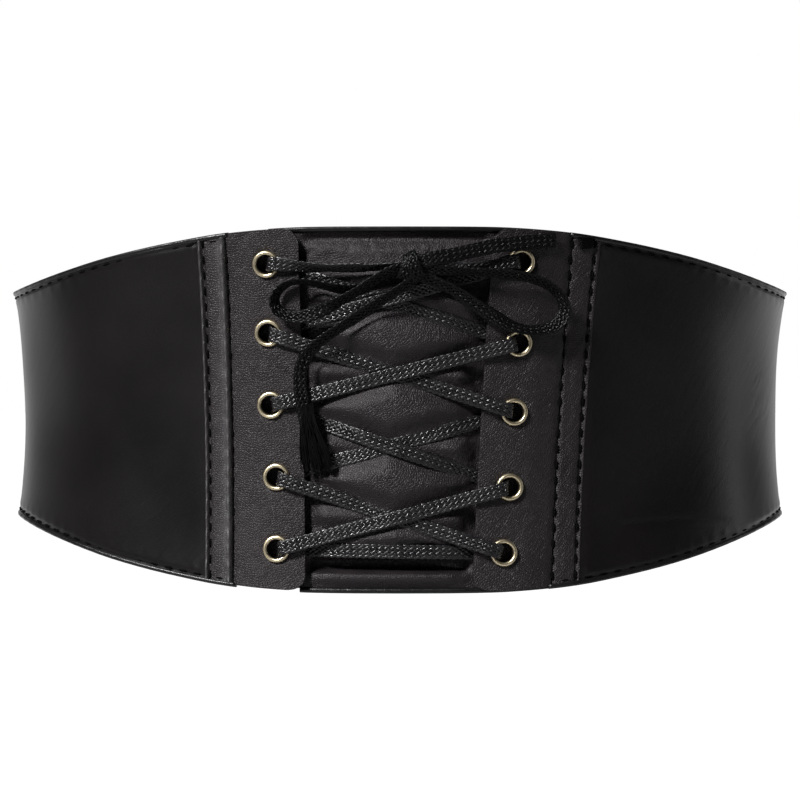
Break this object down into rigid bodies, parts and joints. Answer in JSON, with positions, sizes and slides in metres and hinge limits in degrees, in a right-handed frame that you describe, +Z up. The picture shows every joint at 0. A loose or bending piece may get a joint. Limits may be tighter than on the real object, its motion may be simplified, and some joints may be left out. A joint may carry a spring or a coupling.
{
  "type": "corset belt",
  "caption": "Wide laced waist belt in soft leather: a padded front panel between two eyelet facings, smooth curved sides, an elastic back and a bow.",
  "frame": {"origin": "middle of the waist hollow at the belt's mid height, where a waist carries it", "axes": "+X to the viewer's right, -Y out of the laced front, +Z up"},
  "size_m": [0.2898, 0.1855, 0.1301],
  "materials": {
    "smooth_leather": "smooth black coated leather with a soft sheen",
    "grained_leather": "fine-grained black coated leather, semi-matt",
    "rolled_edge": "turned and stitched black leather edge",
    "eyelet_brass": "pale antique brass, polished rim",
    "lace_braid": "flat black braided polyester lace with a glossy yarn",
    "elastic_webbing": "matt black ribbed elastic"
  },
  "bodies": {
    "root": {"centre_panel": "grained_leather", "centre_top_binding": "rolled_edge", "centre_bottom_binding": "rolled_edge", "placket_left": "grained_leather", "placket_right": "grained_leather", "channel_left": "grained_leather", "channel_right": "grained_leather", "wing_left": "smooth_leather", "wing_right": "smooth_leather", "wing_left_top_binding": "rolled_edge", "wing_left_bottom_binding": "rolled_edge", "wing_right_top_binding": "rolled_edge", "wing_right_bottom_binding": "rolled_edge", "elastic_left": "elastic_webbing", "elastic_right": "elastic_webbing", "back_closure": "smooth_leather", "eyelet_left_1": "eyelet_brass", "eyelet_left_2": "eyelet_brass", "eyelet_left_3": "eyelet_brass", "eyelet_left_4": "eyelet_brass", "eyelet_left_5": "eyelet_brass", "eyelet_right_1": "eyelet_brass", "eyelet_right_2": "eyelet_brass", "eyelet_right_3": "eyelet_brass", "eyelet_right_4": "eyelet_brass", "eyelet_right_5": "eyelet_brass", "lacing": "lace_braid", "bow_knot": "lace_braid", "bow_loop_left": "lace_braid", "bow_loop_right": "lace_braid", "tail_side": "lace_braid", "tail_hanging": "lace_braid", "tail_fray": "lace_braid"}
  },
  "joints": []
}
